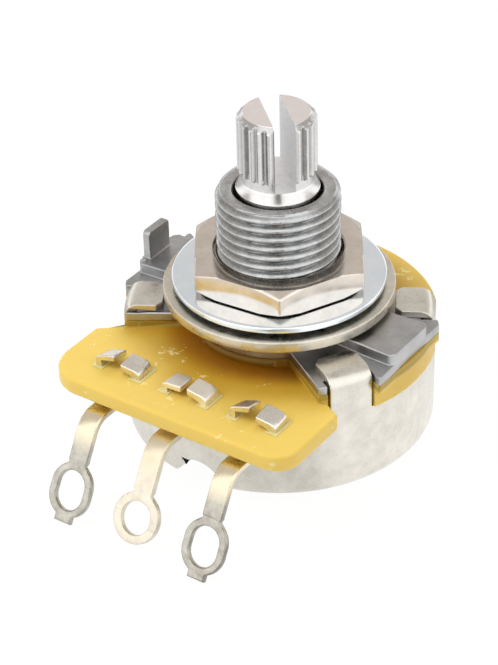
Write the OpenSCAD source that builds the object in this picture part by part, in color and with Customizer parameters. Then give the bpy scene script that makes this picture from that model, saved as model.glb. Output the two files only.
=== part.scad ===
// Panel-mount rotary potentiometer with a split knurled shaft and three solder terminals.
// The origin is on the shaft's axis, at the face that seats against the panel.
// +Z runs towards the knob end, and the terminals point to -Y.

/* [Bushing] */
// Outer diameter of the threaded bushing
bushing_d = 9.52; // [8.6:0.02:10]
// Height of the bushing above the mounting face
bushing_h = 9.1; // [7.5:0.1:12]
// Chamfer at the bushing's outer end
bushing_chamfer = 0.45; // [0.2:0.05:0.6]
// Countersink round the bore's mouth
bore_chamfer = 0.42; // [0.2:0.02:0.6]

/* [Plate] */
// Distance from the can's wall in to the plate's end along X
plate_inset = 0.1; // [-0.2:0.05:0.3]
// Half width of the raised bar along the middle of the plate
platform_half_y = 2.6; // [2.3:0.1:2.7]
// Distance that each end of the raised bar sits to one side
platform_skew = 0.2; // [0:0.05:0.25]
// Cut at the raised bar's corners
platform_cut = 0.4; // [0.2:0.1:0.8]
// Radius of the round seat under the washers
seat_r = 7.6; // [7.2:0.1:8.4]
// Drop from the seat to the raised bar
platform_drop = 0.4; // [0.3:0.05:0.6]
// Drop from the seat to the arms under the fold-over tabs
arm_drop = 1.3; // [1.1:0.05:1.5]
// Depth of the plate below the seat
plate_depth = 2.05; // [1.8:0.05:2.6]
// Half width of the front right arm and of the one opposite
wide_arm_w = 2.6; // [2.4:0.1:2.8]
// Where a wide arm's end begins along Y
wide_ear_y = 4.4; // [4.1:0.1:4.6]
// Half width of the front left arm and of the one opposite
slim_arm_w = 2.05; // [2:0.05:2.4]
// Where a slim arm's end begins along Y
slim_ear_y = 3.9; // [3.6:0.1:4.4]
// Distance from the can's wall in to the tip of an arm
ear_inset = 0.12; // [0:0.02:0.4]
// Thickness of the locating lug along X
lug_t = 0.65; // [0.5:0.05:1]
// Width of the locating lug along Y
lug_w = 2.65; // [2.2:0.05:3.2]
// Height of the locating lug above the mounting face
lug_h = 2.05; // [1.5:0.05:3]
// Radius of the lug's top corners
lug_r = 0.4; // [0.2:0.05:0.9]
// Distance from the lug's outer face to the plate's end
lug_inset = 0.05; // [0:0.05:0.5]
// Distance that the lug sits to the front of the bar's middle
lug_shift = 0.2; // [0:0.05:0.4]

/* [Terminal board] */
// Distance that the board's round part reaches past the can's wall
board_over = 0.15; // [0.05:0.05:0.4]
// Height of the round pad above the board's bar
pad_h = 0.7; // [0.4:0.05:1]
// Thickness of the board's bar
bar_t = 1.4; // [1.1:0.05:1.8]
// Width of the board's bar along X
bar_w = 21.9; // [21.4:0.1:22.6]
// Distance from the can's wall out to the bar's front edge
bar_reach = 3.3; // [3:0.1:4]
// Distance from the can's wall in to the back of the bar's straight sides
bar_back = 4.55; // [4:0.05:5]
// Distance that the bar sits off centre, towards the left
bar_shift = 0.3; // [0:0.05:0.5]
// Radius of the bar's front left corner
bar_left_r = 3; // [2:0.1:3.4]
// Radius of the bar's front right corner
bar_right_r = 2; // [1.5:0.1:3]
// Radius of the hole through the middle of the board
board_hole_r = 5; // [4.9:0.05:5.1]

/* [Resistance element] */
// Thickness of the element and of the collector
element_t = 0.4; // [0.3:0.02:0.5]
// Distance from the can's inside to the ring that carries the track
track_inset = 1.55; // [1.2:0.05:1.7]
// Width of the ring that carries the track
track_w = 2.4; // [2:0.1:2.6]
// Half width of the gap between the ends of the track
track_gap = 2.4; // [2.1:0.1:2.8]
// Width of the legs that run out to the end terminals
leg_w = 3; // [2.8:0.1:3.4]
// Distance from that ring to the collector
collector_gap = 0.65; // [0.5:0.05:0.7]
// Width of the collector's ring
collector_w = 1.5; // [1.3:0.05:1.7]
// Width of the collector's tongue
tongue_w = 3.2; // [3:0.1:3.4]

/* [Terminals] */
// Distance from one terminal to the next
pitch = 6.1; // [6:0.05:6.3]
// Thickness of the terminal strip
strip_t = 0.55; // [0.45:0.05:0.65]
// Width of the strip between the board and the eye
strip_w = 1.65; // [1.4:0.05:1.9]
// Width of the terminal's flat under the board
flat_w = 4.3; // [4.2:0.05:4.6]
// Distance from the middle of the prongs to the flat's inner end
flat_l = 1.25; // [0.95:0.05:1.4]
// Distance from the can's wall in to the middle of the prongs
prong_inset = 0.05; // [-0.2:0.05:0.2]
// Width of a prong along Y
prong_w = 1.65; // [1.4:0.05:1.8]
// Distance from one prong to the other of a terminal
prong_pitch = 3.5; // [3.4:0.05:3.6]
// Length of a prong's clinched foot
foot_l = 1.75; // [1.6:0.05:1.85]
// Angle of the strip away from the board's underside
bend_angle = 60; // [55:1:70]
// Radius of the strip's bend, at its middle
bend_r = 1.6; // [1.2:0.1:2]
// Distance from the can's wall out to the middle of an eye
eye_reach = 7; // [6.6:0.1:7.6]
// Depth of the middle of an eye below the mounting face
eye_depth = 9.7; // [9.4:0.1:10]
// Outer radius of the middle terminal's round eye
round_eye_r = 1.95; // [1.8:0.05:2.2]
// Radius of the hole in the middle terminal's eye
round_hole_r = 1.28; // [1:0.02:1.4]
// Outer radius of an end terminal's long eye
long_eye_r = 1.8; // [1.7:0.05:2]
// Radius of the ends of the hole in a long eye
long_hole_r = 1.2; // [1:0.05:1.3]
// Distance between the end centres of a long eye's hole
long_eye_run = 0.65; // [0.4:0.05:0.9]
// Width of the nub at the end of a long eye
nub_w = 1.45; // [1.1:0.05:1.7]
// Distance from the middle of a long eye to the end of its nub
nub_reach = 2.5; // [2.45:0.05:2.8]

/* [Can] */
// Outer radius of the can
can_r = 12; // [11.8:0.05:12]
// Height of the can from its rim to its back
can_h = 6.84; // [6.6:0.01:7.5]
// Thickness of the can's sheet
can_t = 0.55; // [0.4:0.05:0.6]
// Outer radius of the can's rounded back corner
can_corner = 0.9; // [0.8:0.05:1.2]
// Width of a fold-over tab
tab_w = 3.45; // [3:0.05:3.8]
// Angle of the tabs from the X axis
tab_angle = 30; // [29:0.5:31]
// Distance from the can's wall in to a tab's folded end
tab_fold = 3.1; // [2:0.1:3.2]
// Cut at the corners of a tab's folded end
tab_cut = 0.5; // [0.3:0.1:0.8]
// Depth of the recess in the rim over the terminals
recess_h = 1.3; // [1.2:0.05:1.5]
// Half angle of that recess
recess_half = 45; // [43:1:47]
// Radius of the punch that made the stop dent
dent_r = 2.3; // [2:0.05:2.5]
// Height of the stop dent on the can's wall
dent_h = 2.15; // [1.9:0.05:2.3]
// Depth that the punch went in, along its slope
dent_depth = 2.6; // [2.4:0.05:2.7]
// Slope of the punch, which came up from below
dent_slope = 45; // [40:1:50]
// Distance of the dent from the can's front line
dent_x = 0.4; // [0:0.1:0.6]
// Radius of the torn three-cornered hole beside the dent
tear_r = 0.42; // [0.3:0.02:0.6]

/* [Shaft] */
// Diameter of the shaft
shaft_d = 6.35; // [6:0.01:6.4]
// Clearance between the shaft and its bore, on the radius
shaft_fit = 0.03; // [0.02:0.01:0.06]
// Height of the shaft's knob end above the mounting face
shaft_top = 15.4; // [14.8:0.1:24]
// Height of the shaft's full diameter above the bushing
collar_h = 0.1; // [0:0.05:0.6]
// Height of the cone above the full diameter
cone_h = 0.75; // [0.6:0.05:1]
// Diameter of the smooth neck under the knurl
neck_d = 5.5; // [5.2:0.05:5.7]
// Length of the knurl
knurl_l = 4.7; // [4:0.1:8]
// Diameter over the knurl
knurl_d = 6; // [5.8:0.02:6.1]
// Depth of the knurl's grooves
knurl_depth = 0.28; // [0.2:0.02:0.34]
// Number of teeth of the knurl
knurl_teeth = 24; // [18:1:30]
// Share of a tooth's pitch that the groove's floor takes
knurl_groove = 0.3; // [0.2:0.05:0.35]
// Share of a tooth's pitch that the tooth's crest takes
knurl_crest = 0.3; // [0.2:0.05:0.35]
// Chamfer at the knob end
shaft_chamfer = 0.3; // [0.2:0.05:0.5]
// Width of the slot
slot_w = 1.6; // [0.8:0.1:1.8]
// Depth of the slot from the knob end
slot_l = 5.45; // [4:0.05:5.6]
// Angle of the slot from the X axis
slot_angle = -43; // [-90:1:90]

/* [Rotor] */
// Thickness of the thrust washer behind the plate
thrust_t = 0.5; // [0.3:0.05:0.6]
// Outer radius of the thrust washer
thrust_r = 4.6; // [4.2:0.05:4.8]
// End play of the shaft
end_play = 0.05; // [0.02:0.01:0.1]
// Thickness of the retaining ring
ring_t = 0.6; // [0.5:0.05:0.7]
// Outer radius of the retaining ring
ring_r = 4.3; // [4:0.05:4.6]
// Radius of the shaft in the retaining ring's groove
groove_r = 2.6; // [2.4:0.05:2.8]
// Opening of the retaining ring
ring_gap = 2.6; // [2:0.1:3]
// Radius of the rotor disc
rotor_r = 7.2; // [6.6:0.1:7.6]
// Thickness of the rotor disc
rotor_t = 1.9; // [1.7:0.05:2]
// Radius of the shaft's tail through the rotor
tail_r = 2.6; // [2.4:0.05:2.8]
// Half width of the tail across its two flats
tail_flat = 1.9; // [1.7:0.05:2.1]
// Radius of the tail's staked head
head_r = 2.95; // [2.9:0.05:3.1]
// Thickness of the tail's staked head
head_t = 0.15; // [0.1:0.01:0.2]
// Thickness of the stop arm
stop_t = 1; // [0.9:0.05:1.05]
// Half width of the stop arm
stop_half_w = 2; // [1.8:0.1:2.2]
// Clearance between the stop arm's end and the can's wall
stop_inset = 0.55; // [0.45:0.05:0.75]
// Clearance between the stop arm and the can's floor
stop_gap = 0.39; // [0.35:0.01:0.45]
// Thickness of the wiper's spring strip
wiper_t = 0.3; // [0.2:0.02:0.35]
// Width of each of the wiper's fingers
finger_w = 1; // [0.8:0.05:1.2]
// Run of each of the wiper's fingers
finger_run = 4; // [3.6:0.1:4.2]
// Width of the wing that joins the fingers to the wiper's base
wing_w = 1.4; // [1:0.1:1.6]
// Clearance drawn between the wiper and its tracks
contact_gap = 0.05; // [0.03:0.01:0.08]

/* [Mounting hardware] */
// Width of the nut across its flats
nut_af = 12.7; // [12.2:0.05:13.2]
// Thickness of the nut
nut_t = 2.05; // [1.9:0.05:2.6]
// Angle of one of the nut's corners from the X axis
nut_angle = -55.7; // [-60:0.1:0]
// Clearance between the nut and the bushing, on the radius
nut_fit = 0.04; // [0.02:0.01:0.08]
// Countersink of the nut's bore, on the radius
nut_countersink = 0.5; // [0.3:0.05:0.6]
// Width of the chamfer at the nut's corners
nut_bevel = 0.62; // [0.4:0.02:0.7]
// Height of the chamfer at the nut's corners
nut_bevel_h = 0.3; // [0.2:0.02:0.4]
// Gap between the nut and the flat washer
nut_gap = 0.3; // [0.1:0.05:0.5]
// Outer radius of the flat washer
flat_washer_r = 8.38; // [7.8:0.02:8.8]
// Thickness of the flat washer
flat_washer_t = 0.5; // [0.4:0.05:0.8]
// Outer radius of the lock washer
lock_washer_r = 8.91; // [8.5:0.02:9.2]
// Inner radius of the lock washer's rim
lock_rim_r = 6.9; // [6.6:0.05:7.2]
// Thickness of the lock washer's rim
lock_rim_t = 0.9; // [0.7:0.05:1]
// Clearance between the washers and the bushing, on the radius
washer_fit = 0.25; // [0.2:0.01:0.4]
// Number of teeth inside the lock washer
lock_teeth = 12; // [8:1:14]
// Width of a lock washer tooth
lock_tooth_w = 1.5; // [1.2:0.05:1.7]
// Thickness of a lock washer tooth
lock_tooth_t = 0.55; // [0.5:0.05:0.6]
// Twist of a lock washer tooth
lock_twist = 23; // [20:1:26]
// Play between the flat washer and the teeth below it
washer_play = 0.02; // [0.01:0.01:0.05]

/* [Hidden] */

$fn = 96;
// How far a cut runs past the face that it opens
eps = 0.01;
// Longer than any part of the object
far = 40;
// Steps of the strip's bend, and of each round end of a long eye
steps = 6;
eye_steps = 24;

bushing_r = bushing_d / 2;
shaft_r = shaft_d / 2;
bore_r = shaft_r + shaft_fit;
// Clearances between a prong and its slot, and between a tab and the pieces that it passes
slot_play = 0.08;
tab_play = 0.15;

plate_z = -plate_depth;
arm_z = -arm_drop;
bar_z = plate_z - pad_h;
board_z = bar_z - bar_t;
element_z = board_z - element_t;
terminal_z = element_z - strip_t;
can_z = board_z - can_h;
floor_z = can_z + can_t;
can_in_r = can_r - can_t;

thrust_z = plate_z - thrust_t;
ring_top = thrust_z - end_play;
ring_z = ring_top - ring_t;
stop_z = floor_z + stop_gap;
rotor_z = stop_z + stop_t;
rotor_top = rotor_z + rotor_t;

plate_half_x = can_r - plate_inset;
board_r = can_r + board_over;
bar_front = can_r + bar_reach;
tab_reach = can_r - tab_fold;
tab_bend = 2 * can_t;
track_r = can_in_r - track_inset - track_w / 2;
collector_r = track_r - track_w / 2 - collector_gap - collector_w / 2;
stop_reach = can_in_r - stop_inset;
prong_y = can_r - prong_inset;
flat_inner = prong_y - flat_l;
eye_y = can_r + eye_reach;

tooth_rise = lock_tooth_w * sin(lock_twist) + lock_tooth_t * cos(lock_twist);
flat_washer_z = tooth_rise + washer_play;
nut_z = flat_washer_z + flat_washer_t + nut_gap;
washer_bore_r = bushing_r + washer_fit;

TAB_ANGLES = [-tab_angle, tab_angle, 180 - tab_angle, 180 + tab_angle];

// A flat ring or disc from z up to z + h.
module ring(outer, inner, z, h) {
  translate([0, 0, z]) difference() {
    cylinder(r = outer, h = h);
    if (inner > 0) translate([0, 0, -eps]) cylinder(r = inner, h = h + 2 * eps);
  }
}

// Places its children at each fold-over tab, with X pointing outwards.
module at_tabs() {
  for (angle = TAB_ANGLES) rotate([0, 0, angle]) children();
}

// A box centred on the X axis, from x0 to x1.
module radial_box(x0, x1, width, z, h) {
  translate([x0, -width / 2, z]) cube([x1 - x0, width, h]);
}

// Slots for the terminals' prongs, cut through a piece from z up to z + h.
module prong_slots(x, z, h) {
  for (side = [-1, 1])
    translate([x + side * prong_pitch / 2, -prong_y, z + h / 2])
      cube([strip_t + 2 * slot_play, prong_w + 2 * slot_play, h + 2 * eps], center = true);
}

// One arm's outline, from the axis to its tip: half is its half width round the tab's line.
module arm_outline(half, ear_y) {
  reach = sqrt(pow(can_r - ear_inset, 2) - half * half);
  across = half * [-sin(tab_angle), cos(tab_angle)];
  polygon([[0, 0], [plate_half_x, 0], [plate_half_x, ear_y],
           reach * [cos(tab_angle), sin(tab_angle)] + across, across]);
}

// The outline of the plate's four arms and its middle, seen from above.
module plate_outline() {
  difference() {
    union() {
      circle(r = seat_r);
      for (turn = [0, 180]) rotate([0, 0, turn]) {
        arm_outline(slim_arm_w, slim_ear_y);
        mirror([0, 1]) arm_outline(wide_arm_w, wide_ear_y);
      }
    }
    at_tabs() translate([can_r - tab_bend, -tab_w / 2 - tab_play])
      square([far, tab_w + 2 * tab_play]);
  }
}

// The outline of one end of the raised bar, with its corners cut.
module platform_outline() {
  front = -platform_half_y - platform_skew;
  back = platform_half_y - platform_skew;
  polygon([[0, front], [plate_half_x - platform_cut, front], [plate_half_x, front + platform_cut],
           [plate_half_x, back - platform_cut], [plate_half_x - platform_cut, back], [0, back]]);
}

// The plate is die-cast in one piece with the bushing and the locating lug.
module bushing_plate() {
  color("#9a9a9c") difference() {
    union() {
      translate([0, 0, plate_z]) linear_extrude(height = plate_depth - arm_drop) plate_outline();
      translate([0, 0, plate_z]) linear_extrude(height = plate_depth - platform_drop)
        for (turn = [0, 180]) rotate([0, 0, turn]) platform_outline();
      ring(seat_r, 0, plate_z, plate_depth);
      cylinder(r = bushing_r, h = bushing_h - bushing_chamfer);
      translate([0, 0, bushing_h - bushing_chamfer])
        cylinder(r1 = bushing_r, r2 = bushing_r - bushing_chamfer, h = bushing_chamfer);
      translate([lug_inset - plate_half_x, -lug_shift, arm_z - eps]) locating_lug();
    }
    translate([0, 0, plate_z - eps]) cylinder(r = bore_r, h = plate_depth + bushing_h + 2 * eps);
    translate([0, 0, bushing_h - bore_chamfer])
      cylinder(r1 = bore_r, r2 = bore_r + bore_chamfer + eps, h = bore_chamfer + eps);
  }
}

// The lug keeps the part from turning in its panel, and its top corners are rounded.
module locating_lug() {
  height = lug_h + arm_drop + eps;
  translate([0, -lug_w / 2, 0]) cube([lug_t, lug_w, height - lug_r]);
  translate([0, lug_r - lug_w / 2, 0]) cube([lug_t, lug_w - 2 * lug_r, height]);
  for (side = [-1, 1])
    translate([0, side * (lug_w / 2 - lug_r), height - lug_r])
      rotate([0, 90, 0]) cylinder(r = lug_r, h = lug_t);
}

// The bar that carries the terminals, with two rounded front corners.
module bar_outline() {
  left = -bar_shift - bar_w / 2;
  right = -bar_shift + bar_w / 2;
  back = bar_back - can_r;
  union() {
    polygon([[left, back], [left, bar_left_r - bar_front], [left + bar_left_r, -bar_front],
             [right - bar_right_r, -bar_front], [right, bar_right_r - bar_front],
             [right, back], [0, 0]]);
    translate([left + bar_left_r, bar_left_r - bar_front]) circle(r = bar_left_r);
    translate([right - bar_right_r, bar_right_r - bar_front]) circle(r = bar_right_r);
  }
}

// The board is moulded: a round body in the can's mouth and a bar for the terminals.
module terminal_board() {
  color("#ecd35c") difference() {
    union() {
      ring(board_r, 0, board_z, bar_t);
      translate([0, 0, board_z]) linear_extrude(height = bar_t) bar_outline();
      difference() {
        ring(board_r, 0, bar_z - eps, pad_h + eps);
        translate([-far, -far - wide_ear_y, bar_z - 2 * eps]) cube([2 * far, far, far]);
      }
      translate([0, 0, bar_z - eps]) linear_extrude(height = pad_h + eps) plate_outline();
    }
    translate([0, 0, board_z - eps]) cylinder(r = board_hole_r, h = bar_t + pad_h + 3 * eps);
    at_tabs() radial_box(can_in_r - tab_play, far, tab_w + 2 * tab_play, board_z - eps, far);
    for (i = [-1, 0, 1]) prong_slots(i * pitch, board_z, bar_t);
  }
}

// A horseshoe of laminate that carries the carbon track, with a leg to each end terminal.
module resistance_element() {
  color("#3c3936") difference() {
    union() {
      ring(track_r + track_w / 2, track_r - track_w / 2, element_z, element_t);
      for (side = [-1, 1])
        translate([side * pitch - leg_w / 2, -prong_y - prong_w, element_z])
          cube([leg_w, prong_y + prong_w - track_r * cos(tab_angle) + track_w / 2, element_t]);
      for (side = [-1, 1])
        translate([side * pitch - flat_w / 2, -prong_y - prong_w, element_z])
          cube([flat_w, 2 * prong_w, element_t]);
    }
    translate([-track_gap, -far, element_z - eps]) cube([2 * track_gap, far, element_t + 2 * eps]);
    ring(track_r - track_w / 2, 0, element_z - eps, element_t + 2 * eps);
    for (side = [-1, 1]) prong_slots(side * pitch, element_z, element_t);
  }
}

// The ring that the wiper's inner finger runs on, with a tongue out to the middle terminal.
module collector_ring() {
  color("#cfc9bd") difference() {
    union() {
      ring(collector_r + collector_w / 2, 0, element_z, element_t);
      translate([-tongue_w / 2, -prong_y - prong_w, element_z])
        cube([tongue_w, prong_y + prong_w - collector_r, element_t]);
    }
    ring(collector_r - collector_w / 2, 0, element_z - eps, element_t + 2 * eps);
    prong_slots(0, element_z, element_t);
  }
}

// Where the strip's bend starts and ends, from the eye's place and the slope of the strip.
flat_mid_z = element_z - strip_t / 2;
blade_run = (eye_depth + flat_mid_z) / tan(bend_angle);
corner_y = eye_y - blade_run;
bend_y = corner_y - bend_r * tan(bend_angle / 2);
blade_l = (eye_depth + flat_mid_z) / sin(bend_angle) - bend_r * tan(bend_angle / 2);

// The side view of the strip: the flat under the board, the bend and the sloping blade.
module strip_side(blade_end) {
  function arc(radius, i) = [bend_y + radius * sin(i * bend_angle / steps),
                             radius * cos(i * bend_angle / steps) - bend_r];
  outer = [for (i = [0 : steps]) arc(bend_r + strip_t / 2, i)];
  inner = [for (i = [steps : -1 : 0]) arc(bend_r - strip_t / 2, i)];
  along = [cos(bend_angle), -sin(bend_angle)] * blade_end;
  polygon(concat([[flat_inner, strip_t / 2]], outer, [outer[steps] + along, inner[0] + along],
                 inner, [[flat_inner, -strip_t / 2]]));
}

// Places its children on the eye's middle, with X across the strip and Y down its slope.
module at_eye() {
  translate([0, -eye_y, -eye_depth]) rotate([180 + bend_angle, 0, 0])
    translate([0, 0, -strip_t / 2]) children();
}

// A prong comes up through its slot and is clinched inwards over the board.
module prong(side) {
  fold_r = strip_t;
  fold_z = bar_z + strip_t / 2;
  translate([side * prong_pitch / 2, -prong_y - prong_w / 2, 0]) mirror([side > 0 ? 1 : 0, 0, 0]) {
    translate([-strip_t / 2, 0, terminal_z + strip_t - eps])
      cube([strip_t, prong_w, fold_z - terminal_z - strip_t + 2 * eps]);
    translate([strip_t / 2, 0, fold_z]) intersection() {
      rotate([-90, 0, 0]) cylinder(r = fold_r, h = prong_w);
      translate([-fold_r, -eps, 0]) cube([fold_r, prong_w + 2 * eps, fold_r]);
    }
    translate([strip_t / 2 - eps, 0, fold_z]) cube([foot_l - strip_t + eps, prong_w, strip_t]);
  }
}

// The part of a terminal that is the same in all three: flat, bend, blade and prongs.
module terminal_body(blade_end) {
  translate([0, 0, flat_mid_z]) rotate([90, 0, -90]) translate([0, 0, -strip_w / 2])
    linear_extrude(height = strip_w) strip_side(blade_end);
  translate([-flat_w / 2, -prong_y - prong_w / 2 - strip_t, terminal_z])
    cube([flat_w, prong_w + 2 * strip_t, strip_t]);
  for (side = [-1, 1]) prong(side);
}

// The outline of a slot with round ends, along Y.
module long_outline(radius, run) {
  polygon([for (i = [0 : 2 * eye_steps - 1])
    let (angle = (i + 0.5) * 180 / eye_steps, side = i < eye_steps ? 1 : -1)
    [radius * cos(angle), radius * sin(angle) + side * run / 2]]);
}

// An end terminal has a long eye with a square nub beyond it.
module end_terminal() {
  nub_start = (long_eye_r + long_hole_r) / 2;
  difference() {
    union() {
      terminal_body(blade_l - nub_start);
      at_eye() {
        linear_extrude(height = strip_t) long_outline(long_eye_r, long_eye_run);
        translate([-nub_w / 2, nub_start, 0]) cube([nub_w, nub_reach - nub_start, strip_t]);
      }
    }
    at_eye() translate([0, 0, -eps]) linear_extrude(height = strip_t + 2 * eps)
      long_outline(long_hole_r, long_eye_run);
  }
}

module terminal_left() { color("#b5b0a6") translate([-pitch, 0, 0]) end_terminal(); }

module terminal_right() { color("#b5b0a6") translate([pitch, 0, 0]) end_terminal(); }

// The middle terminal has a round eye.
module terminal_middle() {
  color("#e6dccb") difference() {
    union() {
      terminal_body(blade_l - (round_eye_r + round_hole_r) / 2);
      at_eye() cylinder(r = round_eye_r, h = strip_t);
    }
    at_eye() translate([0, 0, -eps]) cylinder(r = round_hole_r, h = strip_t + 2 * eps);
  }
}

// A tab's outline along X, with the corners of its folded end cut.
module tab_outline() {
  polygon([[tab_reach, tab_cut - tab_w / 2], [tab_reach + tab_cut, -tab_w / 2], [far, -tab_w / 2],
           [far, tab_w / 2], [tab_reach + tab_cut, tab_w / 2], [tab_reach, tab_w / 2 - tab_cut]]);
}

// The side view of a fold-over tab: up the wall, round the bend and in over the plate.
module tab_side() {
  top = arm_z + can_t;
  translate([can_in_r, board_z - eps]) square([can_t, top - board_z + eps - tab_bend]);
  translate([tab_reach - tab_cut, arm_z]) square([can_r - tab_bend - tab_reach + tab_cut, can_t]);
  intersection() {
    translate([can_r - tab_bend, top - tab_bend]) difference() {
      circle(r = tab_bend);
      circle(r = tab_bend - can_t);
    }
    translate([can_r - tab_bend - eps, top - tab_bend - eps]) square(tab_bend + 2 * eps);
  }
}

// The punch's path for the stop dent, as deep and as wide as grow adds.
module dent_punch(grow) {
  start = can_z + dent_h - dent_r / cos(dent_slope);
  translate([dent_x, -can_r, start]) rotate([-dent_slope, 0, 0]) translate([0, 0, -can_r])
    cylinder(r = dent_r + grow, h = can_r + dent_depth + grow);
}

// A round body with a rounded back corner, for the outside and the inside of the can.
module can_space(outer, z, corner, h) {
  rotate_extrude() difference() {
    translate([0, z]) square([outer, h]);
    translate([outer - corner, z]) difference() {
      translate([0, -eps]) square([corner + eps, corner + eps]);
      translate([0, corner]) circle(r = corner);
    }
  }
}

// The can is drawn from sheet, with four tabs, a recess over the terminals and a stop dent.
module housing_can() {
  color("#d5d3cc") difference() {
    union() {
      difference() {
        can_space(can_r, can_z, can_corner, can_h);
        difference() {
          can_space(can_in_r, floor_z, can_corner - can_t, can_h);
          dent_punch(can_t);
        }
        rotate([0, 0, -90 - recess_half])
          rotate_extrude(angle = 2 * recess_half)
            translate([can_in_r - can_t, board_z - recess_h]) square([3 * can_t, far]);
      }
      intersection() {
        rotate_extrude() tab_side();
        translate([0, 0, board_z - 2 * eps]) linear_extrude(height = far) at_tabs() tab_outline();
      }
    }
    dent_punch(0);
    translate([dent_x - dent_r / 2, can_t - can_in_r, can_z + dent_h - tear_r])
      rotate([90, 0, 0]) rotate([0, 0, -90]) cylinder(r = tear_r, h = 3 * can_t, $fn = 3);
  }
}

// The knurled end of the shaft, with straight teeth.
module knurl() {
  tip_r = knurl_d / 2;
  root_r = tip_r - knurl_depth;
  step = 360 / knurl_teeth;
  corners = [[0, root_r], [knurl_groove, root_r], [1 / 2, tip_r], [1 / 2 + knurl_crest, tip_r]];
  outline = [for (i = [0 : knurl_teeth - 1], corner = corners)
             corner[1] * [cos((i + corner[0]) * step), sin((i + corner[0]) * step)]];
  translate([0, 0, shaft_top - knurl_l])
    linear_extrude(height = knurl_l - shaft_chamfer) polygon(outline);
  translate([0, 0, shaft_top - shaft_chamfer - eps])
    cylinder(r1 = root_r, r2 = root_r - shaft_chamfer, h = shaft_chamfer + eps);
}

// The tail's double-D section, which carries the rotor and the stop arm.
module tail(play, z, h) {
  intersection() {
    translate([0, 0, z]) cylinder(r = tail_r + play, h = h);
    translate([-tail_flat - play, -tail_r - play, z - eps])
      cube([2 * (tail_flat + play), 2 * (tail_r + play), h + 2 * eps]);
  }
}

// The shaft is turned in one piece, from its split knurl to its staked tail.
module shaft() {
  collar_z = bushing_h + collar_h;
  color("#c9c9cb") difference() {
    union() {
      ring(shaft_r, 0, rotor_top, ring_z - rotor_top);
      ring(groove_r, 0, ring_z - eps, ring_t + 2 * eps);
      ring(shaft_r, 0, ring_top, collar_z - ring_top);
      translate([0, 0, collar_z]) cylinder(r1 = shaft_r, r2 = neck_d / 2, h = cone_h);
      ring(neck_d / 2, 0, collar_z + cone_h - eps, shaft_top - knurl_l - collar_z - cone_h + 2 * eps);
      knurl();
      tail(0, stop_z - eps, rotor_top - stop_z + 2 * eps);
      ring(head_r, 0, stop_z - head_t, head_t);
    }
    rotate([0, 0, slot_angle]) translate([-shaft_d, -slot_w / 2, shaft_top - slot_l])
      cube([2 * shaft_d, slot_w, slot_l + eps]);
  }
}

// The washer that takes the shaft's thrust behind the plate.
module thrust_washer() {
  color("#b08d57") ring(thrust_r, bore_r + slot_play, thrust_z, thrust_t);
}

// An open ring in the shaft's groove, which holds the shaft in the bushing.
module retaining_ring() {
  color("#6f7274") difference() {
    ring(ring_r, groove_r + slot_play / 2, ring_z, ring_t);
    translate([-ring_gap / 2, -far, ring_z - eps]) cube([ring_gap, far, ring_t + 2 * eps]);
  }
}

// The insulating disc that turns with the shaft and carries the wiper.
module rotor_disc() {
  color("#5a3a26") difference() {
    ring(rotor_r, 0, rotor_z, rotor_t);
    tail(slot_play / 2, rotor_z - eps, rotor_t + 2 * eps);
  }
}

// The steel arm on the tail that meets the can's dent at both ends of the travel.
module stop_arm() {
  color("#85888b") difference() {
    union() {
      ring(thrust_r, 0, stop_z, stop_t);
      intersection() {
        ring(stop_reach, 0, stop_z, stop_t);
        translate([-stop_half_w, 0, stop_z - eps]) cube([2 * stop_half_w, far, stop_t + 2 * eps]);
      }
    }
    tail(slot_play / 2, stop_z - eps, stop_t + 2 * eps);
  }
}

// One finger of the wiper, which slopes up to a rounded contact under its track.
module finger(y) {
  rise = element_z - contact_gap - wiper_t - rotor_top - wiper_t / 2;
  slope = atan(rise / finger_run);
  translate([-finger_run, y - finger_w / 2, rotor_top + wiper_t / 2]) {
    rotate([0, -slope, 0]) translate([0, 0, -wiper_t / 2])
      cube([finger_run / cos(slope), finger_w, wiper_t]);
    translate([finger_run, 0, rise]) rotate([-90, 0, 0]) cylinder(r = wiper_t, h = finger_w);
    rotate([-90, 0, 0]) cylinder(r = wiper_t / 2, h = finger_w);
  }
}

// The wiper is one spring stamping: a base on the rotor, a wing and two fingers.
module wiper_spring() {
  color("#c08a4a") difference() {
    union() {
      ring(collector_r - collector_w / 2, shaft_r + 2 * slot_play, rotor_top, wiper_t);
      translate([-finger_run - wing_w, 0, rotor_top])
        cube([wing_w, track_r + finger_w / 2, wiper_t]);
      translate([-finger_run - wing_w, 0, rotor_top]) cube([2 * wing_w, 2 * wing_w, wiper_t]);
      finger(track_r);
      finger(collector_r);
    }
    ring(shaft_r + 2 * slot_play, 0, rotor_top - eps, wiper_t + 2 * eps);
  }
}

// The washer with teeth inside, twisted so that they bite.
module lock_washer() {
  tooth_l = lock_rim_r - washer_bore_r;
  color("#dad5cc") {
    ring(lock_washer_r, lock_rim_r, 0, lock_rim_t);
    for (i = [0 : lock_teeth - 1]) rotate([0, 0, i * 360 / lock_teeth])
      translate([washer_bore_r, 0, tooth_rise / 2]) rotate([lock_twist, 0, 0])
        translate([0, -lock_tooth_w / 2, -lock_tooth_t / 2])
          cube([tooth_l + lock_tooth_t, lock_tooth_w, lock_tooth_t]);
  }
}

module flat_washer() {
  color("#c9d3e2") ring(flat_washer_r, washer_bore_r, flat_washer_z, flat_washer_t);
}

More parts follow.
